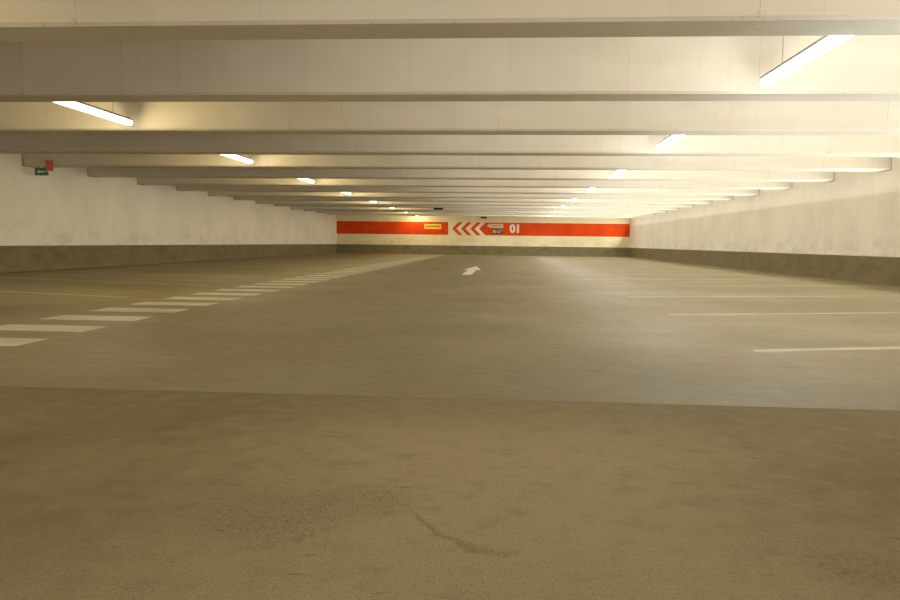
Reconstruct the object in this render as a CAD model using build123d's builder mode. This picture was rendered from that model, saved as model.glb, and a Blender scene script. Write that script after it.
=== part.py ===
from build123d import *
import math
import os

# One storey of a multi storey car park, cut free as a module: a floor slab, two long side walls
# and an end wall, deep concrete beams that span the whole width, and the deck slab of the next
# storey on top of them. The low Y end is open, where the next module would join on.
# X runs across the aisle, Y along it towards the end wall, Z up. The origin is in the middle of
# the underside of the floor slab. All sizes are in millimetres.

# Plan and storey: length follows from the beams and their pitch
clear_width = 16150
clear_height = 2050
wall_thickness = 250
end_wall_thickness = 200
floor_thickness = 200
approach_length = 1930
slab_joint = 10
seal_depth = 25

# Beams, seated on rubber pads in pockets of the side walls
beam_count = 17
beam_pitch = 2250
beam_soffit_width = 390
beam_draft = 20
beam_depth = 570
beam_chamfer = 22
beam_bearing = 150
pocket_gap = 10
pocket_end_gap = 20
pad_thickness = 10
pad_inset = 25
front_overhang = 1560

# Deck over the beams: precast planks with a cast topping
plank_thickness = 60
planks_per_bay = 8
plank_joint = 6
plank_bearing = 40
plank_wall_bearing = 100
plank_chamfer = 8
topping_thickness = 120

# Hanging strip lights, one in each gap between beams, left and right by turns
light_offset = 3530
light_length = 1600
light_rise = 40
tray_width = 102
tray_height = 32
cover_width = 92
cover_height = 55
cover_radius = 22
rod_diameter = 8
rod_inset = 380
rose_diameter = 44
rose_height = 14
rod_sides = 8

# Floor markings, let in flush, the same on this floor and on the deck above
marking_thickness = 3
bay_angle = 74
bay_pitch = 2355
bay_line_width = 100
left_bay_depth = 5065
right_bay_depth = 5265
bay_line_stop = 250
left_bay_start = 2155
right_bay_start = 3600
bay_end_margin = 900
ladder_gap = 475
ladder_width = 800
ladder_pitch = 726
ladder_mark = 350
ladder_start = 2360
ladder_end_margin = 1800
arrow_x = 475
arrow_start = 14000
arrow_length = 5760
arrow_head_length = 2930
arrow_head_width = 440
arrow_shaft_width = 200

# Exit sign box on two studs under a beam
exit_sign_beam = 6
exit_sign_from_wall = 250
exit_sign_width = 255
exit_sign_height = 142
exit_sign_depth = 48
exit_sign_drop = 32
exit_sign_stud = 24
exit_sign_radius = 6

# Bent sign plate for the extinguisher, on the face of the same beam
bent_sign_from_wall = 538
bent_sign_half_width = 78
bent_sign_height = 232
bent_sign_rise = 112
bent_sign_thickness = 4

# Dark equipment boxes: one under a beam over the lane, one high on the end wall
ceiling_box_beam = 13
ceiling_box_x = -1405
ceiling_box_width = 375
ceiling_box_height = 78
ceiling_box_depth = 160
wall_box_x = 145
wall_box_width = 315
wall_box_height = 92
wall_box_depth = 110
wall_box_rise = 48
box_radius = 12

# What follows from them
half_width = clear_width / 2
outer_width = clear_width + 2 * wall_thickness
beam_top_width = beam_soffit_width + 2 * beam_draft
run_to_last_beam = front_overhang + (beam_count - 1) * beam_pitch
clear_length = run_to_last_beam + beam_pitch - beam_soffit_width / 2
length = clear_length + end_wall_thickness
front = -length / 2
end_wall_face = front + clear_length
floor_top = floor_thickness
soffit = floor_top + clear_height
deck_underside = soffit + beam_depth
deck_top = deck_underside + plank_thickness + topping_thickness
light_underside = soffit + light_rise
tray_underside = light_underside + cover_height
tray_top = tray_underside + tray_height
ladder_x = left_bay_depth - half_width + ladder_gap + ladder_width / 2


def beam_y(index):
    """Centre line of a beam, the first one being nearest to the open end."""
    return front + front_overhang + index * beam_pitch


def gap_middle(index):
    """Middle of the gap that follows a beam; the last one ends at the end wall."""
    low = beam_y(index) + beam_soffit_width / 2
    high = beam_y(index + 1) - beam_soffit_width / 2
    return (low + high) / 2


def save(part, name):
    """Labels a finished piece and writes it as the node of that name."""
    part.label = name
    export_step(part, f"parts/{name}.step")


def bay_lines(level, side, bay_depth, start):
    """Lines between the bays of one side, slanting away from the aisle towards the end wall."""
    edge = side * (half_width - bay_depth)
    lean = math.radians(90 - bay_angle)
    across = bay_depth - bay_line_stop
    along = across * math.tan(lean)
    half_line = bay_line_width / 2 / math.cos(lean)
    last = clear_length - bay_end_margin - along
    count = int((last - start) // bay_pitch) + 1
    with BuildSketch(Plane((0, front + start, level))) as lines:
        for n in range(count):
            y = n * bay_pitch
            with BuildLine():
                Polyline(
                    (edge, y - half_line),
                    (edge + side * across, y + along - half_line),
                    (edge + side * across, y + along + half_line),
                    (edge, y + half_line),
                    close=True,
                )
            make_face()
    return lines.sketch


def walkway_ladder(level):
    """Row of short cross bars that marks the walkway beside the left bays."""
    run = clear_length - ladder_end_margin - ladder_start
    count = int(run // ladder_pitch)
    with BuildSketch(Plane((ladder_x, front + ladder_start + ladder_mark / 2, level))) as ladder:
        with Locations(*[(0, n * ladder_pitch) for n in range(count)]):
            Rectangle(ladder_width, ladder_mark)
    return ladder.sketch


def lane_arrow(level):
    """Lane arrow that points to the end wall."""
    shaft_length = arrow_length - arrow_head_length
    with BuildSketch(Plane((arrow_x, front + arrow_start, level))) as arrow:
        with BuildLine():
            Polyline(
                (-arrow_shaft_width / 2, 0),
                (arrow_shaft_width / 2, 0),
                (arrow_shaft_width / 2, shaft_length),
                (arrow_head_width / 2, shaft_length),
                (0, arrow_length),
                (-arrow_head_width / 2, shaft_length),
                (-arrow_shaft_width / 2, shaft_length),
                close=True,
            )
        make_face()
    return arrow.sketch


def markings(level):
    """Outlines of all the markings of one floor, at the height of its surface."""
    return {
        "bay_lines_left": bay_lines(level, -1, left_bay_depth, left_bay_start),
        "bay_lines_right": bay_lines(level, 1, right_bay_depth, right_bay_start),
        "walkway_ladder": walkway_ladder(level),
        "lane_arrow": lane_arrow(level),
    }


def make_markings(level, prefix):
    """Each kind of marking as thin plates whose tops are flush with the floor."""
    for name, outline in markings(level).items():
        with BuildPart() as marking:
            extrude(to_extrude=outline, amount=-marking_thickness)
        save(marking.part, prefix + name)


def make_floor():
    """Rough approach strip, coated slab with shallow beds for its markings, and the joint seal."""
    strip_length = approach_length - slab_joint
    with BuildPart() as approach:
        with BuildSketch(Plane((0, front + strip_length / 2, 0))):
            Rectangle(outer_width, strip_length)
        extrude(amount=floor_thickness)
    save(approach.part, "approach_slab")

    coated_length = length - approach_length
    outlines = markings(floor_top)
    with BuildPart() as coated:
        with BuildSketch(Plane((0, front + approach_length + coated_length / 2, 0))):
            Rectangle(outer_width, coated_length)
        extrude(amount=floor_thickness)
        for outline in outlines.values():
            extrude(to_extrude=outline, amount=-marking_thickness, mode=Mode.SUBTRACT)
    save(coated.part, "floor_slab")

    with BuildPart() as seal:
        with BuildSketch(Plane((0, front + approach_length - slab_joint / 2, floor_top))):
            Rectangle(clear_width, slab_joint)
        extrude(amount=-seal_depth)
    save(seal.part, "floor_joint_seal")


def make_side_wall(side, name):
    """Side wall with a pocket for each beam end, open at the top, cut into its inner face."""
    wall_x = side * (half_width + wall_thickness / 2)
    pocket_x = side * (half_width + beam_bearing / 2)
    pocket_width = beam_top_width + 2 * pocket_gap
    with BuildPart() as wall:
        with BuildSketch(Plane((wall_x, 0, floor_top))):
            Rectangle(wall_thickness, length)
        extrude(amount=deck_underside - floor_top)
        with BuildSketch(Plane((0, 0, deck_underside))):
            with Locations(*[(pocket_x, beam_y(i)) for i in range(beam_count)]):
                Rectangle(beam_bearing, pocket_width)
        extrude(amount=-(beam_depth + pad_thickness), mode=Mode.SUBTRACT)
    save(wall.part, name)


def make_end_wall():
    """End wall between the side walls, taken up to the deck."""
    with BuildPart() as wall:
        with BuildSketch(Plane((0, end_wall_face + end_wall_thickness / 2, floor_top))):
            Rectangle(clear_width, end_wall_thickness)
        extrude(amount=deck_underside - floor_top)
    save(wall.part, "end_wall")


def make_bearing_pads():
    """Rubber pads on the pocket floors, one under each end of each beam."""
    pad_length = beam_bearing - pocket_end_gap - pad_inset
    pad_x = half_width + pad_inset + pad_length / 2
    places = [(side * pad_x, beam_y(i)) for i in range(beam_count) for side in (-1, 1)]
    with BuildPart() as pads:
        with BuildSketch(Plane((0, 0, soffit - pad_thickness))):
            with Locations(*places):
                Rectangle(pad_length, beam_soffit_width - 2 * pad_inset - 2 * beam_chamfer)
        extrude(amount=pad_thickness)
    save(pads.part, "bearing_pads")


def make_beams():
    """Beams with drafted sides and chamfered lower edges, from pocket to pocket."""
    beam_length = clear_width + 2 * (beam_bearing - pocket_end_gap)
    for index in range(beam_count):
        section = Plane(
            origin=(-beam_length / 2, beam_y(index), soffit), x_dir=(0, 1, 0), z_dir=(1, 0, 0)
        )
        with BuildPart() as beam:
            with BuildSketch(section) as profile:
                with BuildLine():
                    Polyline(
                        (-beam_soffit_width / 2, 0),
                        (beam_soffit_width / 2, 0),
                        (beam_top_width / 2, beam_depth),
                        (-beam_top_width / 2, beam_depth),
                        close=True,
                    )
                make_face()
                chamfer(profile.vertices().group_by(Axis.Y)[0], beam_chamfer)
            extrude(amount=beam_length)
        save(beam.part, f"beam_{index + 1:02d}")


def plank_rows():
    """Low and high Y of each row of planks: from the open end, between beams, to the end wall."""
    reach = beam_top_width / 2 - plank_bearing
    lows = [front] + [beam_y(i) + reach for i in range(beam_count)]
    highs = [beam_y(i) - reach for i in range(beam_count)] + [end_wall_face + plank_wall_bearing]
    return list(zip(lows, highs))


def make_planks():
    """Precast planks side by side in every bay, with chamfered lower edges along the joints."""
    run = clear_width + 2 * plank_wall_bearing
    step = (run + plank_joint) / planks_per_bay
    plank_width = step - plank_joint
    with BuildPart() as planks:
        for low, high in plank_rows():
            row = Plane(
                origin=(-run / 2 + plank_width / 2, low, deck_underside),
                x_dir=(1, 0, 0),
                z_dir=(0, -1, 0),
            )
            with BuildSketch(row) as profile:
                Rectangle(plank_width, plank_thickness, align=(Align.CENTER, Align.MIN))
                chamfer(profile.vertices().group_by(Axis.Y)[0], plank_chamfer)
                plank = profile.sketch_local
                for n in range(1, planks_per_bay):
                    with Locations((n * step, 0)):
                        add(plank)
            extrude(amount=low - high)
    save(planks.part, "deck_planks")


def make_topping():
    """Cast deck slab over the planks, with ribs down to the beams and beds for its markings."""
    run = clear_width + 2 * plank_wall_bearing
    outlines = markings(deck_top)
    with BuildPart() as topping:
        with BuildSketch(Plane((0, 0, deck_underside))):
            Rectangle(outer_width, length)
        extrude(amount=plank_thickness + topping_thickness)
        with BuildSketch(Plane((0, 0, deck_underside))):
            for low, high in plank_rows():
                with Locations((0, (low + high) / 2)):
                    Rectangle(run, high - low)
        extrude(amount=plank_thickness, mode=Mode.SUBTRACT)
        for outline in outlines.values():
            extrude(to_extrude=outline, amount=-marking_thickness, mode=Mode.SUBTRACT)
    save(topping.part, "deck_topping")


def light_places(side):
    """Middle of each strip light of one row: every other gap, the right row one gap later."""
    first = 0 if side < 0 else 1
    return [(side * light_offset, gap_middle(i)) for i in range(first, beam_count, 2)]


def make_lights(side, name):
    """One row of strip lights: steel tray, opal cover below it, and two rods with ceiling roses."""
    with BuildPart() as trays:
        for x, y in light_places(side):
            start = Plane(
                origin=(x, y + light_length / 2, tray_underside), x_dir=(1, 0, 0), z_dir=(0, -1, 0)
            )
            with BuildSketch(start) as outline:
                Rectangle(tray_width, tray_height, align=(Align.CENTER, Align.MIN))
                chamfer(outline.vertices().group_by(Axis.Y)[-1], tray_height / 2)
            extrude(amount=light_length)
    save(trays.part, f"light_trays_{name}")

    with BuildPart() as covers:
        for x, y in light_places(side):
            start = Plane(
                origin=(x, y + light_length / 2, light_underside), x_dir=(1, 0, 0), z_dir=(0, -1, 0)
            )
            with BuildSketch(start) as outline:
                Rectangle(cover_width, cover_height, align=(Align.CENTER, Align.MIN))
                fillet(outline.vertices().group_by(Axis.Y)[0], cover_radius)
            extrude(amount=light_length)
    save(covers.part, f"light_covers_{name}")

    rod_y = light_length / 2 - rod_inset
    rod_places = [(x, y + end * rod_y) for x, y in light_places(side) for end in (-1, 1)]
    with BuildPart() as rods:
        with BuildSketch(Plane((0, 0, tray_top))):
            with Locations(*rod_places):
                RegularPolygon(rod_diameter / 2, rod_sides)
        extrude(amount=deck_underside - tray_top)
        with BuildSketch(Plane((0, 0, deck_underside))):
            with Locations(*rod_places):
                RegularPolygon(rose_diameter / 2, rod_sides)
        extrude(amount=-rose_height)
    save(rods.part, f"light_rods_{name}")


def make_exit_sign():
    """Sign box with softened edges, hung by two studs from the underside of a beam."""
    x = exit_sign_from_wall - half_width
    y = beam_y(exit_sign_beam - 1)
    with BuildPart() as sign:
        with BuildSketch(Plane((x, y, soffit))):
            with GridLocations(exit_sign_width / 2, 0, 2, 1):
                RegularPolygon(exit_sign_stud / 2, rod_sides)
        extrude(amount=-exit_sign_drop)
        with BuildSketch(Plane((x, y, soffit - exit_sign_drop))) as outline:
            Rectangle(exit_sign_width, exit_sign_depth)
            chamfer(outline.vertices(), exit_sign_radius)
        extrude(amount=-exit_sign_height)
    save(sign.part, "exit_sign")


def make_bent_sign():
    """Plate bent to a right angle, its two long edges set against the face of the beam."""
    x = bent_sign_from_wall - half_width
    face_y = beam_y(exit_sign_beam - 1) - beam_soffit_width / 2
    back_y = face_y - beam_draft * bent_sign_rise / beam_depth
    inner = bent_sign_half_width - bent_sign_thickness * math.sqrt(2)
    with BuildPart() as sign:
        with BuildSketch(Plane((x, back_y, soffit + bent_sign_rise))):
            with BuildLine():
                Polyline(
                    (-bent_sign_half_width, 0),
                    (0, -bent_sign_half_width),
                    (bent_sign_half_width, 0),
                    (inner, 0),
                    (0, -inner),
                    (-inner, 0),
                    close=True,
                )
            make_face()
        extrude(amount=-bent_sign_height)
    save(sign.part, "extinguisher_sign")


def make_boxes():
    """Equipment boxes with softened corners, one under a beam and one on the end wall."""
    with BuildPart() as ceiling_box:
        with BuildSketch(Plane((ceiling_box_x, beam_y(ceiling_box_beam - 1), soffit))) as outline:
            Rectangle(ceiling_box_width, ceiling_box_depth)
            chamfer(outline.vertices(), box_radius)
        extrude(amount=-ceiling_box_height)
    save(ceiling_box.part, "ceiling_box")

    wall_box_top = soffit + wall_box_rise
    with BuildPart() as wall_box:
        with BuildSketch(Plane((wall_box_x, end_wall_face, wall_box_top))) as outline:
            Rectangle(wall_box_width, wall_box_depth, align=(Align.CENTER, Align.MAX))
            chamfer(outline.vertices().group_by(Axis.Y)[0], box_radius)
        extrude(amount=-wall_box_height)
    save(wall_box.part, "wall_box")


os.makedirs("parts", exist_ok=True)
make_floor()
make_side_wall(-1, "left_wall")
make_side_wall(1, "right_wall")
make_end_wall()
make_bearing_pads()
make_beams()
make_planks()
make_topping()
make_lights(-1, "left")
make_lights(1, "right")
make_markings(floor_top, "")
make_markings(deck_top, "upper_")
make_exit_sign()
make_bent_sign()
make_boxes()
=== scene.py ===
import math

import bpy
import numpy as np
from mathutils import Matrix, Vector


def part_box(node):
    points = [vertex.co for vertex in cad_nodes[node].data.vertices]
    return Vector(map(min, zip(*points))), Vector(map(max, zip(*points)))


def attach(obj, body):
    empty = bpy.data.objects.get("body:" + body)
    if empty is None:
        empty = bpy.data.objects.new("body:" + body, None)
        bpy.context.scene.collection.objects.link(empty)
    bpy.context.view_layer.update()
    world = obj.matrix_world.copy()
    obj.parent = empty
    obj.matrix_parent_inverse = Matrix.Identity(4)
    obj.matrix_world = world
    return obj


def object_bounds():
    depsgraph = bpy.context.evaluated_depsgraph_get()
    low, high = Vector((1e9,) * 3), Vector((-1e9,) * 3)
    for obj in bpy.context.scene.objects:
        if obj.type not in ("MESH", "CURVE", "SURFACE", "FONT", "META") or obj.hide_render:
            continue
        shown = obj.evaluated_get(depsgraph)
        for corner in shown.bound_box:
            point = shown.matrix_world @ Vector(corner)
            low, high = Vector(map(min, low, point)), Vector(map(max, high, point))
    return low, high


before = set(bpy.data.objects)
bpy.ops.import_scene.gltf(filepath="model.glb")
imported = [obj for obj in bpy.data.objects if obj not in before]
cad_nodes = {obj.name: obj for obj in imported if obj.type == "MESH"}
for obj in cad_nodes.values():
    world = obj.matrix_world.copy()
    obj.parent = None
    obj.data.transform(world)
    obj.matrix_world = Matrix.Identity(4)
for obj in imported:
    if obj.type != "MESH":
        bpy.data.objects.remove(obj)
cad_low, cad_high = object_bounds()

# The camera stands low, just outside the open end, and looks down the aisle, a little to the
# left and down. The lens is given by its focal length in pixels.
open_end = cad_low.y
floor_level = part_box("floor_slab")[1].z
focal_pixels = 735.8
image_width = 900
farthest_seen = 500.0
camera_x = 1.215
camera_back = 1.15
camera_height = 0.66
yaw, pitch, roll = (math.radians(angle) for angle in (4.048, 4.464, 0.696))
view = bpy.data.cameras.new("aisle_view")
view.sensor_width = 36.0
view.lens = focal_pixels / image_width * view.sensor_width
view.clip_end = farthest_seen
camera = bpy.data.objects.new("aisle_camera", view)
camera.matrix_world = (
    Matrix.Translation((camera_x, open_end - camera_back, floor_level + camera_height))
    @ Matrix.Rotation(yaw, 4, "Z")
    @ Matrix.Rotation(math.pi / 2 - pitch, 4, "X")
    @ Matrix.Rotation(roll, 4, "Z")
)
scene = bpy.context.scene
scene.collection.objects.link(camera)
scene.camera = camera
scene.view_settings.view_transform = "Standard"


# The stage: a plain pale floor that the storey stands on, under a soft even sky with one wide
# soft sun from behind the end wall, so that no sunlight falls in at the open end.
def add_node(tree, kind, *feeds, **settings):
    """A shader node with its settings, its inputs fed in order with values or other sockets."""
    node = tree.nodes.new("ShaderNode" + kind)
    for name, value in settings.items():
        setattr(node, name, value)
    for socket, feed in zip(node.inputs, feeds):
        if isinstance(feed, bpy.types.NodeSocket):
            tree.links.new(feed, socket)
        elif feed is not None:
            socket.default_value = feed
    return node


def new_mesh(name, points, faces):
    """A mesh object at the origin, from its points and faces."""
    mesh = bpy.data.meshes.new(name)
    mesh.from_pydata(np.asarray(points, float).tolist(), [], [list(map(int, f)) for f in faces])
    mesh.update()
    piece = bpy.data.objects.new(name, mesh)
    scene.collection.objects.link(piece)
    return piece


stage_reach = 300.0
stage_colour = (0.78, 0.77, 0.75, 1.0)
stage_gap = 0.003
corners = np.array([[-1, -1, 0], [1, -1, 0], [1, 1, 0], [-1, 1, 0]]) * stage_reach
stage_floor = new_mesh("stage_floor", corners + [0, 0, cad_low.z - stage_gap], [[0, 1, 2, 3]])
stage_finish = bpy.data.materials.new("stage_paint")
stage_finish.use_nodes = True
stage_shader = stage_finish.node_tree.nodes["Principled BSDF"]
stage_shader.inputs["Base Color"].default_value = stage_colour
stage_shader.inputs["Roughness"].default_value = 0.9
stage_floor.data.materials.append(stage_finish)

sky = bpy.data.worlds.new("soft_sky")
sky.use_nodes = True
sky_tree = sky.node_tree
seen_rays = add_node(sky_tree, "LightPath")
seen = add_node(
    sky_tree, "Math", seen_rays.outputs["Is Camera Ray"], seen_rays.outputs["Is Glossy Ray"],
    operation="MAXIMUM",
)
sky_light, sky_seen = 0.62, 0.93
sky_colour = (1.0, 0.985, 0.96, 1.0)
sky_level = add_node(sky_tree, "MapRange", seen.outputs[0], 0.0, 1.0, sky_light, sky_seen)
sky_tree.nodes["Background"].inputs["Color"].default_value = sky_colour
sky_tree.links.new(sky_level.outputs[0], sky_tree.nodes["Background"].inputs["Strength"])
scene.world = sky

towards_sun = Vector((-0.45, 0.5, 0.9))
sun = bpy.data.lights.new("soft_sun", "SUN")
sun.energy = 1.1
sun.angle = math.radians(35)
sun_lamp = bpy.data.objects.new("soft_sun", sun)
sun_lamp.matrix_world = towards_sun.to_track_quat("Z", "Y").to_matrix().to_4x4()
scene.collection.objects.link(sun_lamp)


# The strip lights: folded steel trays with opal covers that glow, hung on thin rods. The lamps
# of the right row are newer, brighter and whiter than the yellowed ones of the left row.
def finish_tree(name):
    """A new material with its node tree, its main shader and its place in metres."""
    finish = bpy.data.materials.new(name)
    finish.use_nodes = True
    tree = finish.node_tree
    place = add_node(tree, "TexCoord").outputs["Object"]
    return finish, tree, tree.nodes["Principled BSDF"], place


def ease(tree, value, low, high, start=0.0, stop=1.0):
    """Goes smoothly from start to stop as the value goes from low to high."""
    return add_node(
        tree, "MapRange", value, low, high, start, stop, interpolation_type="SMOOTHSTEP"
    ).outputs[0]


def cloud(tree, place, size, detail=3.0, rough=0.55):
    """Noise of about 0 to 1 with patches of the given size in metres."""
    node = add_node(tree, "TexNoise")
    tree.links.new(place, node.inputs["Vector"])
    node.inputs["Scale"].default_value = 1.0 / size
    node.inputs["Detail"].default_value = detail
    node.inputs["Roughness"].default_value = rough
    return node.outputs[0]


def stretch(tree, place, x, y, z):
    """The place with each axis multiplied: a pattern grows longer where the factor is small."""
    return add_node(tree, "VectorMath", place, (x, y, z), operation="MULTIPLY").outputs[0]


def tint(tree, share, low, high):
    """The colour between two others, by a share from 0 to 1."""
    node = add_node(tree, "Mix", data_type="RGBA")
    for socket, feed in zip((node.inputs[0], node.inputs[6], node.inputs[7]), (share, low, high)):
        if isinstance(feed, bpy.types.NodeSocket):
            tree.links.new(feed, socket)
        else:
            socket.default_value = (*feed, 1.0) if isinstance(feed, tuple) else feed
    return node.outputs[2]


def coat(tree, shader, colour, roughness, height=None, depth=0.001, shine=0.5):
    """Feeds the shader with colour, roughness and a bump whose height is in units of the depth.
    The shine is 0.5 for plain varnish and plastic, and less for chalky paint."""
    tree.links.new(colour, shader.inputs["Base Color"])
    shader.inputs["Specular IOR Level"].default_value = shine
    if isinstance(roughness, bpy.types.NodeSocket):
        tree.links.new(roughness, shader.inputs["Roughness"])
    else:
        shader.inputs["Roughness"].default_value = roughness
    if height is not None:
        bump = add_node(tree, "Bump")
        bump.inputs["Distance"].default_value = depth
        tree.links.new(height, bump.inputs["Height"])
        tree.links.new(bump.outputs[0], shader.inputs["Normal"])


def dress(finish, *names):
    """Gives CAD nodes a finish in place of their plain one."""
    for name in names:
        slots = cad_nodes[name].data.materials
        slots.clear()
        slots.append(finish)


def glow_lamp(name, middle, away, size, watts, colour, along=(0, 1, 0), mirrored=False):
    """A soft oblong lamp that the camera doesn't see. It shines the way that away points, and
    the second of its two sizes lies along the given direction. A mirrored lamp shows in the
    sheen of what it lights."""
    lamp = bpy.data.lights.new(name, "AREA")
    lamp.shape = "RECTANGLE"
    lamp.size, lamp.size_y = size
    lamp.energy = watts
    lamp.color = colour
    holder = bpy.data.objects.new(name, lamp)
    back = -Vector(away).normalized()
    across = Vector(along).cross(back).normalized()
    turn = Matrix((across, back.cross(across), back)).transposed().to_4x4()
    holder.matrix_world = Matrix.Translation(middle) @ turn
    holder.visible_camera = False
    holder.visible_glossy = mirrored
    scene.collection.objects.link(holder)


beam_low, beam_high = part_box("beam_01")
next_low, next_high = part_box("beam_02")
first_beam = (beam_low.y + beam_high.y) / 2
beam_pitch = (next_low.y + next_high.y) / 2 - first_beam
cover_length = 1.6
cover_glow = 8.0
lamp_gap = 0.006
lamp_short = 0.24
# Watts of the lamp under each cover and of the two beside it, and the colours of lamps and cover.
rows = {
    "left": {"down": 17.5, "side": 12.0, "colour": (1.0, 0.79, 0.40), "glow": (1.0, 0.93, 0.74)},
    "right": {"down": 24.5, "side": 5.4, "colour": (0.98, 0.96, 0.96), "glow": (1.0, 0.98, 0.92)},
}
for side, row in rows.items():
    cover_low, cover_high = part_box("light_covers_" + side)
    cover_x = (cover_low.x + cover_high.x) / 2
    half_cover = (cover_high.x - cover_low.x) / 2
    row_run = cover_high.y - cover_low.y - cover_length
    count = round(row_run / (2 * beam_pitch)) + 1
    mid_z = (cover_low.z + cover_high.z) / 2
    side_size = (cover_high.z - cover_low.z, cover_length - lamp_short)
    for n in range(count):
        y = cover_low.y + cover_length / 2 + n * 2 * beam_pitch
        name = f"{side}_{n:02d}"
        glow_lamp(
            "down_" + name, (cover_x, y, cover_low.z - lamp_gap), away=(0, 0, -1),
            size=(2 * half_cover, cover_length), watts=row["down"], colour=row["colour"],
            mirrored=True,
        )
        for turn in (-1, 1):
            glow_lamp(
                f"side_{name}_{turn}", (cover_x + turn * (half_cover + lamp_gap), y, mid_z),
                away=(turn, 0, -0.2), size=side_size, watts=row["side"], colour=row["colour"],
            )

    cover_finish, tree, shader, place = finish_tree("opal_cover_" + side)
    dust = cloud(tree, place, 0.09)
    coat(tree, shader, tint(tree, dust, (0.86, 0.84, 0.76), (0.93, 0.92, 0.87)), 0.35)
    shader.inputs["Emission Color"].default_value = (*row["glow"], 1.0)
    shader.inputs["Emission Strength"].default_value = cover_glow
    dress(cover_finish, "light_covers_" + side)

tray_finish, tree, shader, place = finish_tree("tray_paint")
dust = cloud(tree, stretch(tree, place, 6, 1, 6), 0.2)
coat(
    tree, shader, tint(tree, dust, (0.36, 0.35, 0.31), (0.47, 0.46, 0.42)),
    ease(tree, dust, 0.3, 0.7, 0.42, 0.6), dust, 0.0004,
)
dress(tray_finish, "light_trays_left", "light_trays_right")

rod_finish, tree, shader, place = finish_tree("zinc_rod")
dull = cloud(tree, place, 0.02)
coat(
    tree, shader, tint(tree, dull, (0.42, 0.42, 0.4), (0.6, 0.6, 0.58)),
    ease(tree, dull, 0.3, 0.7, 0.35, 0.55),
)
shader.inputs["Metallic"].default_value = 0.85
dress(rod_finish, "light_rods_left", "light_rods_right")


# The soft light that the pale paint throws about between floor and beams: strongest from the
# right wall and between the beams right of the middle, weak at the open end and the end wall.
hall_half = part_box("end_wall")[1].x
end_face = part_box("end_wall")[0].y
soffit = beam_low.z
off_wall, off_beam, short_of_ends = 0.26, 0.03, 1.0
hall_middle = (open_end + end_face) / 2
hall_run = end_face - open_end - short_of_ends
glow_lamp(
    "thrown_by_right_wall", (hall_half - off_wall, hall_middle, floor_level + 1.1),
    away=(-1, 0, 0.5), size=(0.9, hall_run), watts=740.0, colour=(1.0, 0.97, 0.90),
)
glow_lamp(
    "thrown_by_floor", (4.8, hall_middle, floor_level + 1.4), away=(0, 0, 1),
    size=(3.2, hall_run), watts=350.0, colour=(0.84, 0.89, 0.95),
)
glow_lamp(
    "thrown_by_beams", (1.5, hall_middle, soffit - off_beam), away=(0, 0, -1),
    size=(5.0, hall_run), watts=112.0, colour=(0.94, 0.97, 0.90),
)
glow_lamp(
    "from_open_end", (0.5, open_end - 1.2, floor_level + 0.15), away=(0, 0.55, 0.8),
    size=(8.0, 0.8), watts=32.0, colour=(1.0, 0.68, 0.28), along=(0, 0.8, -0.55),
)
glow_lamp(
    "on_end_wall", (0.0, end_face - 4.0, floor_level + 1.8), away=(0, 1, -0.3),
    size=(12.0, 0.3), watts=30.0, colour=(1.0, 0.93, 0.78), along=(0, 0, 1),
)
beam_count = round((end_face - first_beam) / beam_pitch)
beam_width = beam_high.y - beam_low.y
first_watts, more_watts = 24.2, 0.64
for n in range(beam_count - 1):
    behind_beam = first_beam + n * beam_pitch + beam_width / 2 + off_beam
    glow_lamp(
        f"thrown_between_beams_{n + 1:02d}", (3.0, behind_beam, soffit + 0.25), away=(0, 1, 0),
        size=(6.8, 0.35), watts=first_watts + more_watts * n, colour=(1.0, 0.955, 0.87),
        along=(0, 0, 1),
    )


# The beams: precast concrete with drafted sides and a chamfered arris, sprayed with matt cream
# masonry paint. Hairline joints of the mould cross the faces, with a stain at the foot of some.
def calc(tree, operation, *feeds):
    """One sum on numbers or sockets."""
    return add_node(tree, "Math", *feeds, operation=operation).outputs[0]


def plus(tree, first, second):
    """The first and the second added up."""
    return calc(tree, "ADD", first, second)


def minus(tree, first, second):
    """The first less the second."""
    return calc(tree, "SUBTRACT", first, second)


def times(tree, first, second):
    """The first multiplied by the second."""
    return calc(tree, "MULTIPLY", first, second)


def over(tree, first, second):
    """The first divided by the second."""
    return calc(tree, "DIVIDE", first, second)


def share_of(tree, seed):
    """A fixed chance number from 0 to 1 for each seed."""
    node = add_node(tree, "TexWhiteNoise", noise_dimensions="1D")
    tree.links.new(seed, node.inputs["W"])
    return node.outputs["Value"]


def split(tree, place):
    """The three coordinates of a place."""
    return add_node(tree, "SeparateXYZ", place).outputs


def apart(tree, across, up):
    """The distance from zero: the root of both squares added up."""
    squares = [calc(tree, "POWER", way, 2.0) for way in (across, up)]
    return calc(tree, "SQRT", plus(tree, *squares))


beam_finish, tree, shader, place = finish_tree("beam_paint")
x, y, z = split(tree, place)
mould_panel, panel_shift = 0.5, 0.37
beam_seed, tone_seed = 53.7, 31.3
# Each beam has a number and each mould panel along it a seed, which gives the panel one line at a
# chance place and of a chance strength. The line wanders, breaks off and fades at the foot.
number = calc(tree, "ROUND", over(tree, minus(tree, y, first_beam), beam_pitch))
along = plus(tree, over(tree, x, mould_panel), times(tree, number, panel_shift))
cell = calc(tree, "FLOOR", along)
seed = plus(tree, cell, times(tree, number, beam_seed))
line_at = plus(tree, times(tree, share_of(tree, seed), 0.8), 0.1)
strength = share_of(tree, plus(tree, seed, 0.5))
wander = times(tree, minus(tree, cloud(tree, place, 0.12, 2.0), 0.5), 0.03)
off = minus(tree, minus(tree, along, cell), line_at)
from_line = times(tree, calc(tree, "ABSOLUTE", plus(tree, off, wander)), mould_panel)
height_up = minus(tree, z, soffit)
broken = ease(tree, cloud(tree, place, 0.16, 2.0), 0.36, 0.5, 0.25, 1.0)
hairline = ease(tree, from_line, 0.0008, 0.0038, 1.0, 0.0)
crack = times(tree, hairline, ease(tree, strength, 0.4, 0.95))
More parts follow.
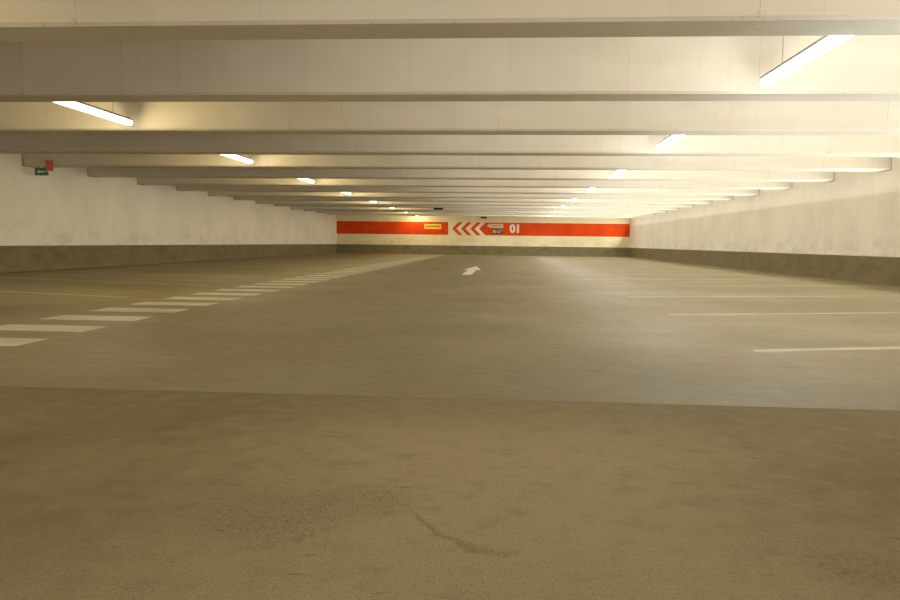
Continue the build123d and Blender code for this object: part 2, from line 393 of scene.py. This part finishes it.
crack = times(tree, crack, times(tree, broken, ease(tree, height_up, 0.0, 0.05, 0.15, 1.0)))
# Half-round stains of small blots, at the foot of the strongest lines only.
reach = apart(tree, over(tree, from_line, 0.07), over(tree, height_up, 0.06))
stained = times(tree, ease(tree, reach, 0.2, 1.1, 1.0, 0.0), ease(tree, strength, 0.7, 0.95))
blots = ease(tree, cloud(tree, place, 0.02, 2.0), 0.45, 0.6)
foot_stain = times(tree, stained, times(tree, blots, ease(tree, height_up, 0.0, 0.012)))
# The paint differs from panel to panel, with clouds, lift marks, streaks and pits all over.
side = calc(tree, "GREATER_THAN", off, 0.0)
panel_tone = share_of(tree, plus(tree, plus(tree, cell, side), times(tree, number, tone_seed)))
patches = cloud(tree, stretch(tree, place, 0.7, 1.0, 1.3), 0.9)
lift_marks = cloud(tree, stretch(tree, place, 0.3, 1.0, 2.5), 0.5, 2.0)
streaks = cloud(tree, stretch(tree, place, 1.0, 1.0, 0.12), 0.07, 2.0)
pits = ease(tree, cloud(tree, place, 0.010, 2.0), 0.71, 0.77)
orange_peel = cloud(tree, place, 0.006, 2.0)
edge_wear = times(
    tree, ease(tree, height_up, 0.008, 0.03, 1.0, 0.0),
    ease(tree, cloud(tree, place, 0.05, 3.0, 0.65), 0.6, 0.68),
)
paint = tint(tree, ease(tree, patches, 0.3, 0.7), (0.655, 0.61, 0.505), (0.725, 0.68, 0.575))
paint = tint(tree, times(tree, panel_tone, 0.14), paint, (0.46, 0.42, 0.34))
paint = tint(tree, ease(tree, lift_marks, 0.45, 0.75, 0.0, 0.2), paint, (0.55, 0.50, 0.40))
paint = tint(tree, ease(tree, streaks, 0.55, 0.8, 0.0, 0.16), paint, (0.50, 0.45, 0.35))
low = times(tree, ease(tree, height_up, 0.0, 0.02), ease(tree, height_up, 0.03, 0.24, 1.0, 0.0))
low = times(tree, low, ease(tree, patches, 0.35, 0.65))
paint = tint(tree, times(tree, low, 0.3), paint, (0.60, 0.48, 0.36))
paint = tint(tree, times(tree, foot_stain, 0.5), paint, (0.36, 0.29, 0.19))
paint = tint(tree, times(tree, edge_wear, 0.45), paint, (0.40, 0.36, 0.29))
paint = tint(tree, times(tree, crack, 0.55), paint, (0.25, 0.21, 0.16))
paint = tint(tree, times(tree, pits, 0.25), paint, (0.35, 0.31, 0.24))
relief = minus(tree, times(tree, orange_peel, 0.4), times(tree, pits, 1.5))
coat(tree, shader, paint, ease(tree, patches, 0.3, 0.7, 0.62, 0.8), relief, 0.0010, 0.2)
beam_names = sorted(name for name in cad_nodes if name.startswith("beam_"))
dress(beam_finish, *beam_names)

# The underside of the deck: precast planks laid side by side from beam to beam and painted like
# them. Their chamfered joints show as thin lines of shadow.
ceiling_finish, tree, shader, place = finish_tree("ceiling_paint")
patches = cloud(tree, place, 0.7, 4.0)
grain = cloud(tree, stretch(tree, place, 6.0, 0.6, 6.0), 0.3, 3.0)
paint = tint(tree, ease(tree, patches, 0.3, 0.7), (0.60, 0.555, 0.46), (0.70, 0.655, 0.55))
paint = tint(tree, ease(tree, grain, 0.5, 0.8, 0.0, 0.3), paint, (0.5, 0.46, 0.37))
coat(tree, shader, paint, 0.75, cloud(tree, place, 0.008, 3.0), 0.0006, 0.2)
dress(ceiling_finish, "deck_planks")


# The walls: cast concrete, painted off-white inside above a dark washable base band, and left as
# it came from the formwork outside, with panel joints, tie holes and rain streaks.
def bare_concrete(tree, place, along):
    """Colour and relief of cast concrete: clouds, formwork joints and tie holes on a vertical
    face. The joint lines repeat along the face and upwards, and the tie holes are dots at fixed
    places in each panel."""
    panel_long, panel_high, hole = 2.4, 1.3, 0.014
    up = split(tree, place)[2]
    clouds = cloud(tree, place, 1.6, 3.0, 0.6)
    fine = cloud(tree, place, 0.03, 3.0, 0.65)
    streaks = cloud(tree, stretch(tree, place, 5.0, 5.0, 0.35), 0.8, 2.0)
    u = calc(tree, "FRACT", over(tree, plus(tree, along, 100.0), panel_long))
    v = calc(tree, "FRACT", over(tree, minus(tree, up, 0.2), panel_high))
    side_gap = times(tree, calc(tree, "PINGPONG", u, 0.5), panel_long)
    level_gap = times(tree, calc(tree, "PINGPONG", v, 0.5), panel_high)
    joint = ease(tree, calc(tree, "MINIMUM", side_gap, level_gap), 0.002, 0.008, 1.0, 0.0)
    hole_u = times(tree, calc(tree, "PINGPONG", plus(tree, u, 0.25), 0.25), panel_long)
    hole_v = times(tree, minus(tree, v, 0.5), panel_high)
    ties = ease(tree, apart(tree, hole_u, hole_v), hole, hole * 1.5, 1.0, 0.0)
    colour = tint(tree, ease(tree, clouds, 0.3, 0.7), (0.36, 0.35, 0.325), (0.47, 0.46, 0.43))
    colour = tint(tree, ease(tree, fine, 0.55, 0.8, 0.0, 0.4), colour, (0.30, 0.29, 0.27))
    colour = tint(tree, ease(tree, streaks, 0.5, 0.75, 0.0, 0.45), colour, (0.27, 0.26, 0.235))
    colour = tint(tree, times(tree, joint, 0.6), colour, (0.2, 0.19, 0.17))
    colour = tint(tree, times(tree, ties, 0.8), colour, (0.1, 0.1, 0.09))
    relief = minus(tree, times(tree, fine, 0.6), times(tree, joint, 2.0))
    return colour, minus(tree, relief, times(tree, ties, 5.0))


def wall_finish(name, across_axis, inner, along_axis, deep, pale):
    """Paint on the inner side of a wall and bare concrete beyond its inner face.
    The side is told by how far the coordinate across the wall lies past the inner face."""
    finish, tree, shader, place = finish_tree(name)
    axes = split(tree, place)
    up = minus(tree, axes[2], floor_level)
    across = axes[across_axis]
    if across_axis == 0:
        across = calc(tree, "ABSOLUTE", across)
    outside = ease(tree, across, inner + 0.004, inner + 0.012)
    base_height, base_blur = 0.5, 0.005
    clouds = cloud(tree, place, 1.2)
    roller = cloud(tree, stretch(tree, place, 2.0, 2.0, 0.6), 0.3, 2.0)
    fine = cloud(tree, place, 0.02, 2.0)
    scuffs = cloud(tree, stretch(tree, place, 0.8, 0.8, 1.6), 0.35, 4.0, 0.62)
    paint = tint(tree, ease(tree, clouds, 0.3, 0.7), deep, pale)
    rolled = tuple(0.82 * c for c in deep)
    paint = tint(tree, ease(tree, roller, 0.45, 0.75, 0.0, 0.18), paint, rolled)
    low_dirt = times(tree, ease(tree, up, 0.5, 1.2, 1.0, 0.0), ease(tree, scuffs, 0.42, 0.7))
    paint = tint(tree, times(tree, low_dirt, 0.32), paint, (0.33, 0.30, 0.24))
    band = tint(tree, ease(tree, scuffs, 0.3, 0.72), (0.150, 0.125, 0.062), (0.205, 0.172, 0.092))
    dust = times(tree, ease(tree, up, 0.0, 0.16, 1.0, 0.0), ease(tree, fine, 0.35, 0.7))
    band = tint(tree, times(tree, dust, 0.5), band, (0.26, 0.215, 0.115))
    band_edge = plus(tree, up, times(tree, minus(tree, fine, 0.5), 0.008))
    above_band = ease(tree, band_edge, base_height - base_blur, base_height + base_blur)
    paint = tint(tree, above_band, band, paint)
    bare, bare_relief = bare_concrete(tree, place, axes[along_axis])
    colour = tint(tree, outside, paint, bare)
    painted_relief = times(tree, fine, 0.5)
    relief = add_node(tree, "Mix", outside, None, painted_relief, bare_relief).outputs[0]
    coat(tree, shader, colour, ease(tree, outside, 0.0, 1.0, 0.7, 0.88), relief, 0.0012, 0.22)
    return finish


side_paint = wall_finish("side_wall_paint", 0, hall_half, 1, (0.73, 0.69, 0.58), (0.81, 0.77, 0.66))
dress(side_paint, "left_wall", "right_wall")
end_paint = wall_finish("end_wall_paint", 1, end_face, 0, (0.70, 0.62, 0.39), (0.79, 0.71, 0.46))
dress(end_paint, "end_wall")


# The floor of the bays and the aisle, here and on the deck above: a troweled slab with a thin
# olive-grey coating, worn in broad faint sweeps and crossed by pale and dark tyre marks.
def drive_marks(tree, place):
    """Tyre streaks: noise drawn out along the lane, its place across bent by a slow drift."""
    drift = cloud(tree, stretch(tree, place, 0.2, 1.0, 1.0), 6.0, 2.0)
    x, y = split(tree, place)[:2]
    bent = add_node(
        tree, "CombineXYZ", plus(tree, x, times(tree, drift, 3.0)),
        times(tree, y, 0.06), 0.0,
    ).outputs[0]
    return cloud(tree, bent, 0.45, 2.0, 0.6)


def slab_edge(tree, place, level, colour):
    """The colour on top of a slab and bare concrete on its edges below the surface."""
    x, y, z = split(tree, place)
    edge = bare_concrete(tree, place, plus(tree, x, y))[0]
    below = ease(tree, z, level - 0.004, level - 0.0035, 1.0, 0.0)
    return tint(tree, below, colour, edge)


def coated_slab(name, level):
    """Clouds about a metre across, over them worn sweeps, trowel flecks a few centimetres long,
    tyre marks, spots, brown traces of wet tyres and a fine speckle."""
    finish, tree, shader, place = finish_tree(name)
    clouds = cloud(tree, place, 1.3, 2.0)
    sweeps = cloud(tree, stretch(tree, place, 0.5, 1.2, 1.0), 1.0, 4.0, 0.6)
    speckle = cloud(tree, place, 0.012, 2.0, 0.7)
    flecks = cloud(tree, stretch(tree, place, 0.8, 1.2, 1.0), 0.11, 3.0, 0.62)
    brown = cloud(tree, stretch(tree, place, 1.3, 0.7, 1.0), 1.1, 2.0)
    marks = drive_marks(tree, place)
    spots = ease(tree, cloud(tree, place, 0.35, 3.0, 0.6), 0.66, 0.73)
    colour = tint(tree, ease(tree, clouds, 0.3, 0.7), (0.192, 0.157, 0.079), (0.238, 0.196, 0.101))
    colour = tint(tree, ease(tree, brown, 0.5, 0.72, 0.0, 0.55), colour, (0.225, 0.152, 0.064))
    colour = tint(tree, ease(tree, sweeps, 0.4, 0.75, 0.0, 0.55), colour, (0.28, 0.237, 0.135))
    colour = tint(tree, ease(tree, marks, 0.55, 0.78, 0.0, 0.22), colour, (0.13, 0.107, 0.066))
    colour = tint(tree, ease(tree, marks, 0.22, 0.42, 0.22, 0.0), colour, (0.31, 0.265, 0.155))
    colour = tint(tree, times(tree, spots, 0.25), colour, (0.12, 0.10, 0.062))
    colour = tint(tree, ease(tree, flecks, 0.5, 0.75, 0.0, 0.40), colour, (0.12, 0.097, 0.056))
    colour = tint(tree, ease(tree, flecks, 0.25, 0.48, 0.36, 0.0), colour, (0.32, 0.273, 0.155))
    colour = tint(tree, ease(tree, speckle, 0.45, 0.75, 0.0, 0.16), colour, (0.11, 0.09, 0.055))
    gloss = ease(tree, sweeps, 0.3, 0.7, 0.50, 0.64)
    relief = plus(tree, times(tree, speckle, 0.5), times(tree, flecks, 2.0))
    coat(tree, shader, slab_edge(tree, place, level, colour), gloss, relief, 0.0007, 0.35)
    return finish


deck_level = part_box("deck_topping")[1].z
dress(coated_slab("floor_coating", floor_level), "floor_slab")
dress(coated_slab("deck_coating", deck_level), "deck_topping")

# The strip outside the joint: older rough concrete with a sandy grain, browner than the coating,
# scoured down to coarse dark grit in a few patches, with short dark scratches and a bowed scrape.
joint_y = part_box("floor_slab")[0].y
rough_finish, tree, shader, place = finish_tree("rough_strip")
x, y = split(tree, place)[:2]
broad = cloud(tree, place, 0.7)
brown = cloud(tree, stretch(tree, place, 1.0, 2.0, 1.0), 0.5, 3.0)
drawn = stretch(tree, place, 1.0, 0.6, 1.0)
grain = cloud(tree, drawn, 0.005, 2.0, 0.6)
grit = cloud(tree, drawn, 0.0085, 3.0, 0.65)
ragged = minus(tree, cloud(tree, place, 0.10, 4.0, 0.65), 0.5)
# Patches: the middle across, its distance from the open end, half the width and half the depth.
scoured_patches = (
    (0.66, 0.55, 0.19, 0.21), (0.80, 0.62, 0.14, 0.16), (0.90, 0.68, 0.12, 0.12),
    (1.97, 0.37, 0.15, 0.11), (-2.9, 1.0, 0.5, 0.35), (3.7, 0.6, 0.6, 0.3),
)
scoured = 0.0
for patch_x, patch_y, half_x, half_y in scoured_patches:
    share_x = over(tree, minus(tree, x, patch_x), half_x)
    share_y = over(tree, minus(tree, y, open_end + patch_y), half_y)
    reach = plus(tree, apart(tree, share_x, share_y), times(tree, ragged, 2.8))
    scoured = calc(tree, "MAXIMUM", scoured, ease(tree, reach, 0.45, 1.1, 1.0, 0.0))
# The bowed scrape: a short piece of a parabola, ragged along its edge.
bow_x, bow_y, bow_curve = 1.23, 0.38, 4.2
bow = minus(tree, bow_x, x)
bow_rise = times(tree, times(tree, bow, bow), bow_curve)
bow_gap = minus(tree, minus(tree, y, open_end + bow_y), bow_rise)
bow_gap = calc(tree, "ABSOLUTE", plus(tree, bow_gap, times(tree, ragged, 0.09)))
bow_edge = times(tree, ease(tree, x, 0.96, 1.04), ease(tree, x, 1.18, 1.30, 1.0, 0.0))
bow_edge = times(tree, bow_edge, ease(tree, bow_gap, 0.002, 0.030, 1.0, 0.0))
bow_edge = times(tree, bow_edge, ease(tree, grit, 0.3, 0.6, 0.35, 1.0))
# Coarser towards the open end, and painted light: paler along a line right of the middle.
uneven_y = plus(tree, y, times(tree, broad, 0.5))
coarse = ease(tree, uneven_y, open_end + 0.35, open_end + 0.9, 1.0, 0.0)
painted_light_x = 1.2
from_painted_light = calc(tree, "ABSOLUTE", minus(tree, x, painted_light_x))
painted_light_strip = ease(tree, plus(tree, from_painted_light, times(tree, ragged, 0.4)), 0.2, 1.2, 1.0, 0.0)
scratch = cloud(tree, stretch(tree, place, 0.55, 2.2, 1.0), 0.06, 3.0, 0.6)
colour = tint(tree, ease(tree, broad, 0.3, 0.7), (0.195, 0.140, 0.060), (0.262, 0.196, 0.088))
colour = tint(tree, ease(tree, brown, 0.45, 0.72, 0.0, 0.5), colour, (0.21, 0.128, 0.050))
# Painted light: the pale strip right of the middle, fading into painted shade at its sides.
colour = tint(tree, times(tree, painted_light_strip, 0.85), colour, (0.40, 0.308, 0.153))
by_joint = ease(tree, y, joint_y - 0.8, joint_y - 0.1, 0.0, 0.65)
colour = tint(tree, by_joint, colour, (0.205, 0.160, 0.075))
colour = tint(tree, ease(tree, ragged, -0.02, 0.22, 0.0, 0.27), colour, (0.135, 0.100, 0.052))
colour = tint(tree, ease(tree, ragged, -0.22, 0.0, 0.24, 0.0), colour, (0.37, 0.30, 0.165))
colour = tint(tree, times(tree, bow_edge, 0.5), colour, (0.12, 0.082, 0.038))
colour = tint(tree, times(tree, coarse, 0.35), colour, (0.33, 0.25, 0.12))
colour = tint(tree, ease(tree, grain, 0.5, 0.72, 0.0, 0.5), colour, (0.125, 0.088, 0.042))
colour = tint(tree, ease(tree, grain, 0.28, 0.5, 0.25, 0.0), colour, (0.36, 0.28, 0.15))
speck = times(tree, ease(tree, grit, 0.48, 0.66), plus(tree, scoured, times(tree, coarse, 0.4)))
colour = tint(tree, times(tree, scoured, 0.18), colour, (0.13, 0.09, 0.042))
colour = tint(tree, times(tree, speck, 0.36), colour, (0.10, 0.068, 0.033))
colour = tint(tree, ease(tree, scratch, 0.67, 0.74, 0.0, 0.45), colour, (0.10, 0.078, 0.042))
relief = minus(tree, times(tree, grain, 0.6), times(tree, grit, 0.5))
coat(tree, shader, slab_edge(tree, place, floor_level, colour), 0.82, relief, 0.002, 0.2)
dress(rough_finish, "approach_slab")

# The joint between the two slabs, filled with a seal that trodden-in grit has turned as brown as
# the rough strip, and the black rubber pads that the beam ends rest on.
seal_finish, tree, shader, place = finish_tree("joint_seal")
grit = cloud(tree, place, 0.012, 4.0)
seal = tint(tree, ease(tree, grit, 0.35, 0.7), (0.15, 0.115, 0.065), (0.23, 0.175, 0.10))
coat(tree, shader, seal, 0.85, grit, 0.0015)
dress(seal_finish, "floor_joint_seal")
pad_finish, tree, shader, place = finish_tree("bearing_rubber")
bloom = cloud(tree, place, 0.03, 4.0)
rubber = tint(tree, ease(tree, bloom, 0.4, 0.7), (0.022, 0.021, 0.02), (0.07, 0.065, 0.06))
coat(tree, shader, rubber, 0.8, bloom, 0.0006)
dress(pad_finish, "bearing_pads")


# The floor markings: cream thermoplastic, rubbed thin by tyres and chipped, so that the coating
# shows through in specks. The bay lines are older than the walkway and the arrow.
def marking_film(name, deep, pale, rubbed):
    """Cream film with clouds, and specks of the coating where a broad and a fine noise are both
    high."""
    finish, tree, shader, place = finish_tree(name)
    wear = cloud(tree, place, 0.35, 6.0, 0.7)
    specks = cloud(tree, place, 0.012, 3.0, 0.7)
    worn = times(tree, ease(tree, wear, rubbed, rubbed + 0.3), ease(tree, specks, 0.42, 0.58))
    cream = tint(tree, ease(tree, cloud(tree, place, 0.6), 0.3, 0.7), deep, pale)
    colour = tint(tree, times(tree, worn, 0.8), cream, (0.22, 0.182, 0.100))
    coat(tree, shader, colour, 0.6, specks, 0.0006)
    return finish


bay_paint = marking_film("bay_line_film", (0.33, 0.30, 0.205), (0.44, 0.405, 0.285), 0.38)
walkway_paint = marking_film("walkway_film", (0.45, 0.41, 0.285), (0.56, 0.52, 0.375), 0.45)
arrow_paint = marking_film("arrow_film", (0.60, 0.56, 0.41), (0.72, 0.68, 0.51), 0.55)
for floor in ("", "upper_"):
    dress(bay_paint, floor + "bay_lines_left", floor + "bay_lines_right")
    dress(walkway_paint, floor + "walkway_ladder")
    dress(arrow_paint, floor + "lane_arrow")


# The band on the end wall: red paint with a row of chevrons that point left, and sign plates
# screwed onto it. Every film and plate is a thin solid that stands proud of the wall.
def plate(name, outline, face_y, thickness, bevel=0.0):
    """A flat plate on a wall that faces the open end: the outline in x and z, carried from the
    wall's face towards the open end by the thickness. Twice the outline's area is the sum of each
    corner's x by the next z less the next x by its z. Where that is positive, the outline runs
    anticlockwise and the faces are turned round. A bevel, if any, rounds the rim."""
    x, z = np.array(outline, float).T
    n = len(x)
    back = np.column_stack([x, np.full(n, face_y), z])
    front = back - [0, thickness, 0]
    corner = np.arange(n)
    after = (corner + 1) % n
    sides = np.column_stack([corner, after, after + n, corner + n])
    faces = [corner.tolist(), (corner[::-1] + n).tolist(), *sides.tolist()]
    piece = new_mesh(name, np.vstack([back, front]), faces)
    if np.sum(x * np.roll(z, -1) - np.roll(x, -1) * z) > 0:
        piece.data.flip_normals()
    if bevel:
        rim = piece.modifiers.new("rim", "BEVEL")
        rim.width = bevel
        rim.segments = 2
    return piece


def film_finish(name, pale, deep, roughness=0.45):
    """Sign paint with faint clouds, roller texture and rubbed spots. A rough one is chalky and
    shines less."""
    finish, tree, shader, place = finish_tree(name)
    clouds = cloud(tree, place, 0.5, 4.0)
    rubbed = ease(tree, cloud(tree, place, 0.08, 5.0, 0.7), 0.62, 0.75, 0.0, 0.3)
    colour = tint(tree, ease(tree, clouds, 0.3, 0.7), deep, pale)
    colour = tint(tree, rubbed, colour, tuple(0.6 * c + 0.06 for c in deep))
    gloss = ease(tree, clouds, 0.3, 0.7, roughness, roughness + 0.15)
    shine = 0.15 if roughness > 0.5 else 0.5
    coat(tree, shader, colour, gloss, cloud(tree, place, 0.006), 0.0005, shine)
    return finish


def oblong(left, right, low, high):
    """The four corners of an upright oblong, clockwise from the lower left one."""
    return [(left, low), (left, high), (right, high), (right, low)]


def pointed(tip, shoulder, right, low, high):
    """An oblong whose left end comes to a point at half height, clockwise from that point."""
    return [(tip, (low + high) / 2), (shoulder, high), (right, high), (right, low), (shoulder, low)]


film = 0.0015
band_low, band_high = floor_level + 1.08, floor_level + 1.785
band_middle = (band_low + band_high) / 2
band_point, stroke = 0.36, 0.235
left_band_end, right_band_tip = -1.82, -0.112
chevron_tips = (-1.605, -1.110, -0.600)
red_film = film_finish("band_red", (0.68, 0.068, 0.007), (0.57, 0.050, 0.006), 0.6)
band_shapes = {
    "band_left": oblong(-hall_half, left_band_end, band_low, band_high),
    "band_right": pointed(
        right_band_tip, right_band_tip + band_point, hall_half, band_low, band_high
    ),
}
for n, tip in enumerate(chevron_tips):
    band_shapes[f"chevron_{n + 1}"] = [
        (tip, band_middle),
        (tip + band_point, band_high),
        (tip + band_point + stroke, band_high),
        (tip + stroke, band_middle),
        (tip + band_point + stroke, band_low),
        (tip + band_point, band_low),
    ]
for name, outline in band_shapes.items():
    piece = plate(name, outline, end_face, film)
    piece.data.materials.append(red_film)
    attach(piece, "root")

sign_thickness, sign_rim = 0.004, 0.001
plates = {
    "way_plate": (oblong(-3.136, -2.204, floor_level + 1.402, floor_level + 1.670),
                  film_finish("plate_yellow", (0.86, 0.60, 0.07), (0.78, 0.50, 0.05), 0.35)),
    "ticket_plate": (pointed(0.317, 0.317 + 0.16, 1.212, floor_level + 1.500, floor_level + 1.711),
                     film_finish("plate_cream", (0.64, 0.53, 0.31), (0.56, 0.46, 0.27), 0.35)),
    "notice_plate": (oblong(0.619, 1.218, floor_level + 1.171, floor_level + 1.407),
                     film_finish("plate_dark", (0.075, 0.068, 0.055), (0.05, 0.045, 0.036), 0.35)),
}
for name, (outline, finish) in plates.items():
    piece = plate(name, outline, end_face - film, sign_thickness, sign_rim)
    piece.data.materials.append(finish)
    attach(piece, "root")

# Plain marks on the plates, each a thin film: a bar with an arrow head at both ends on the yellow
# one, a bar on the cream one, a square and two bars on the dark one.
way_middle = floor_level + 1.536
ticket_middle = floor_level + 1.6055
notice_middle = floor_level + 1.289
mark_film = 0.0012
ink_black = film_finish("ink_black", (0.05, 0.045, 0.035), (0.03, 0.027, 0.022))
ink_pale = film_finish("ink_pale", (0.62, 0.57, 0.44), (0.54, 0.49, 0.37))
marks = {
    "way_bar": (oblong(-2.93, -2.42, way_middle - 0.022, way_middle + 0.022), ink_black),
    "way_arrow_left": (
        [(-3.06, way_middle), (-2.97, way_middle + 0.07), (-2.97, way_middle - 0.07)], ink_black,
    ),
    "way_arrow_right": (
        [(-2.38, way_middle + 0.07), (-2.28, way_middle), (-2.38, way_middle - 0.07)], ink_black,
    ),
    "ticket_bar": (oblong(0.56, 1.12, ticket_middle - 0.026, ticket_middle + 0.026),
                   film_finish("ink_grey", (0.30, 0.25, 0.16), (0.24, 0.20, 0.13))),
    "notice_square": (oblong(0.66, 0.80, notice_middle - 0.07, notice_middle + 0.07), ink_pale),
    "notice_bar_high": (oblong(0.85, 1.17, notice_middle + 0.02, notice_middle + 0.055), ink_pale),
    "notice_bar_low": (oblong(0.85, 1.08, notice_middle - 0.055, notice_middle - 0.02), ink_pale),
}
for name, (outline, ink) in marks.items():
    piece = plate(name, outline, end_face - film - sign_thickness, mark_film)
    piece.data.materials.append(ink)
    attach(piece, "root")


# The screws of the plates: round-headed, of zinc-plated steel, one near each corner of a plate,
# with the head flat on its face.
def lathe(profile, turns):
    """Points and faces of a profile of radius and height carried round a vertical axis: each point
    goes to radius times cosine, radius times sine, height. The last profile point is the top."""
    radius, height = np.array(profile, float).T
    angle = np.arange(turns) * (2 * math.pi / turns)
    ring = np.stack([
        np.outer(radius, np.cos(angle)),
        np.outer(radius, np.sin(angle)),
        np.outer(height, np.ones(turns)),
    ], 2)
    n = np.arange(len(radius) - 1)[:, None] * turns
    m = np.arange(turns)[None, :]
    after = (m + 1) % turns
    quads = np.stack([n + m, n + after, n + after + turns, n + m + turns], 2).reshape(-1, 4)
    lid = (len(radius) - 1) * turns + np.arange(turns)
    return ring.reshape(-1, 3), [*quads.tolist(), lid.tolist(), np.arange(turns)[::-1].tolist()]


screw_profile = [(0.0075, 0.0), (0.0072, 0.0016), (0.0055, 0.0030), (0.0025, 0.0037)]
screw_sides = 12
screw_inset, point_inset = 0.028, 0.13
head, head_faces = lathe(screw_profile, screw_sides)
screw_points, screw_faces = [], []
for outline, finish in plates.values():
    across, high = np.array(outline).T
    left = across.min() + screw_inset + (point_inset if len(outline) > 4 else 0.0)
    for screw_x in (left, across.max() - screw_inset):
        for screw_z in (high.min() + screw_inset, high.max() - screw_inset):
            place_at = np.array([screw_x, end_face - film - sign_thickness, screw_z])
            first = len(screw_points) * len(head)
            screw_faces += [[first + k for k in face] for face in head_faces]
            screw_points.append(head[:, [0, 2, 1]] * [1, -1, 1] + place_at)
plate_screws = new_mesh("plate_screws", np.vstack(screw_points), screw_faces)
screw_finish, tree, shader, place = finish_tree("screw_zinc")
dull = cloud(tree, place, 0.004)
coat(
    tree, shader, tint(tree, dull, (0.40, 0.39, 0.36), (0.55, 0.54, 0.50)),
    ease(tree, dull, 0.3, 0.7, 0.3, 0.5),
)
shader.inputs["Metallic"].default_value = 0.9
plate_screws.data.materials.append(screw_finish)
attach(plate_screws, "root")

# The number of the storey: two plain figures, cut from pale film and pressed onto the red band
# beside the plates.
number_x, number_lift = 1.874, 0.01
number_height, number_half_depth, number_stoutness = 0.60, 0.001, 0.028
number_text = bpy.data.curves.new("deck_number", "FONT")
number_text.body = "01"
number_text.size = number_height
number_text.align_x, number_text.align_y = "CENTER", "CENTER"
number_text.extrude = number_half_depth
number_text.offset = number_stoutness
number_object = bpy.data.objects.new("number_text", number_text)
scene.collection.objects.link(number_object)
bpy.context.view_layer.update()
number_mesh = bpy.data.meshes.new_from_object(number_object)
bpy.data.objects.remove(number_object)
number_mesh.transform(
    Matrix.Translation((number_x, end_face - film - number_half_depth, band_middle + number_lift))
    @ Matrix.Rotation(math.pi / 2, 4, "X")
)
deck_number = bpy.data.objects.new("deck_number", number_mesh)
scene.collection.objects.link(deck_number)
number_mesh.materials.clear()
number_mesh.materials.append(film_finish("number_white", (0.72, 0.68, 0.56), (0.64, 0.60, 0.5)))
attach(deck_number, "root")

# The exit sign: a green box hung on two studs, with a plain pale arrow on both of its faces. Beside
# it the bent plate for the extinguisher, red with a pale edge, fixed to the face of the same beam.
exit_finish, tree, shader, place = finish_tree("exit_green")
clouds = cloud(tree, place, 0.06)
green = tint(tree, clouds, (0.022, 0.13, 0.07), (0.036, 0.18, 0.10))
coat(tree, shader, green, 0.4, clouds, 0.0003)
dress(exit_finish, "exit_sign")
exit_low, exit_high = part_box("exit_sign")
exit_middle = (exit_low.x + exit_high.x) / 2
arrow_lift = 0.071
arrow_white = film_finish("arrow_white", (0.70, 0.74, 0.66), (0.62, 0.66, 0.58))
arrow_shape = np.array([
    (-0.088, 0.0), (-0.030, 0.044), (-0.030, 0.017), (0.080, 0.017),
    (0.080, -0.017), (-0.030, -0.017), (-0.030, -0.044),
])
arrow_faces = {"exit_arrow_front": exit_low.y, "exit_arrow_back": exit_high.y + mark_film}
for name, face_y in arrow_faces.items():
    outline = arrow_shape + [exit_middle, exit_low.z + arrow_lift]
    piece = plate(name, outline, face_y, mark_film)
    piece.data.materials.append(arrow_white)
    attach(piece, "root")

bent_finish, tree, shader, place = finish_tree("extinguisher_red")
z = split(tree, place)[2]
bent_low, bent_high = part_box("extinguisher_sign")
clouds = cloud(tree, place, 0.07)
rim_width, rim_blur = 0.012, 0.003
up_middle = (bent_low.z + bent_high.z) / 2
half_height = (bent_high.z - bent_low.z) / 2
edge_gap = minus(tree, half_height, calc(tree, "ABSOLUTE", minus(tree, z, up_middle)))
pale_edge = ease(tree, edge_gap, rim_width, rim_width + rim_blur, 1.0, 0.0)
red = tint(tree, clouds, (0.46, 0.07, 0.045), (0.58, 0.10, 0.065))
coat(tree, shader, tint(tree, pale_edge, red, (0.62, 0.56, 0.48)), 0.4, clouds, 0.0003)
dress(bent_finish, "extinguisher_sign")

# The equipment boxes near the far end: dark housings of moulded plastic, one on the underside of
# a beam, one on the face of the end wall.
box_finish, tree, shader, place = finish_tree("dark_housing")
clouds = cloud(tree, place, 0.05)
housing = tint(tree, clouds, (0.02, 0.02, 0.018), (0.04, 0.038, 0.034))
coat(tree, shader, housing, 0.5, clouds, 0.0003)
dress(box_finish, "ceiling_box", "wall_box")
